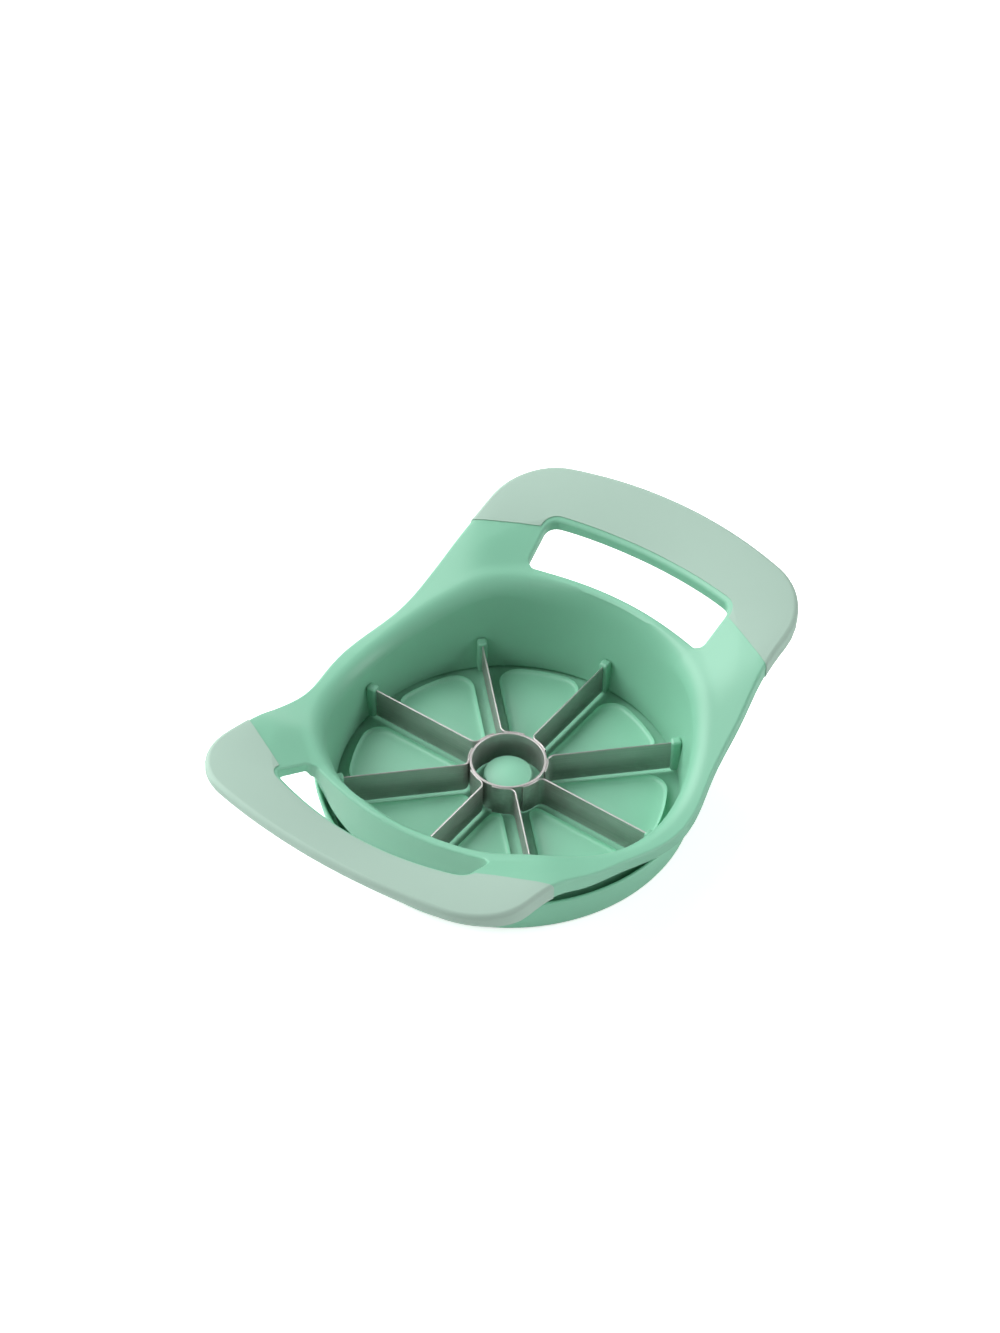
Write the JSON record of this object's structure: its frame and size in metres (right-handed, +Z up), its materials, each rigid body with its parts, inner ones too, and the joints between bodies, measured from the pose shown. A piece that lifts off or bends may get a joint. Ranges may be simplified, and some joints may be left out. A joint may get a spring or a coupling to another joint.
{
  "type": "apple slicer",
  "caption": "Two-handled apple corer and slicer: radial steel blades round a core ring in a saddle-shaped moulded frame with soft grips, seated in a shallow round tray that covers the blades.",
  "frame": {"origin": "centre of the tray's underside, on the surface that the part stands on", "axes": "+X from the middle towards the back handle, +Y across the handles, +Z up, the way the slicer lifts off its tray"},
  "size_m": [0.187, 0.129, 0.0539],
  "materials": {
    "frame_plastic": "satin moulded plastic, mint green",
    "grip_rubber": "matte soft-touch overmould, pale mint",
    "blade_steel": "brushed stainless steel strip with a ground lower edge",
    "tray_plastic": "satin moulded plastic, mint green"
  },
  "bodies": {
    "tray": {"tray": "tray_plastic"},
    "slicer": {"frame": "frame_plastic", "grip_front": "grip_rubber", "grip_back": "grip_rubber", "core_ring": "blade_steel", "blade_1": "blade_steel", "blade_2": "blade_steel", "blade_3": "blade_steel", "blade_4": "blade_steel", "blade_5": "blade_steel", "blade_6": "blade_steel", "blade_7": "blade_steel", "blade_8": "blade_steel"}
  },
  "joints": [
    {"name": "lift_off", "type": "slide", "parent": "tray", "child": "slicer", "axis": [0, 0, 1], "range_m": [0, 0.045]}
  ]
}
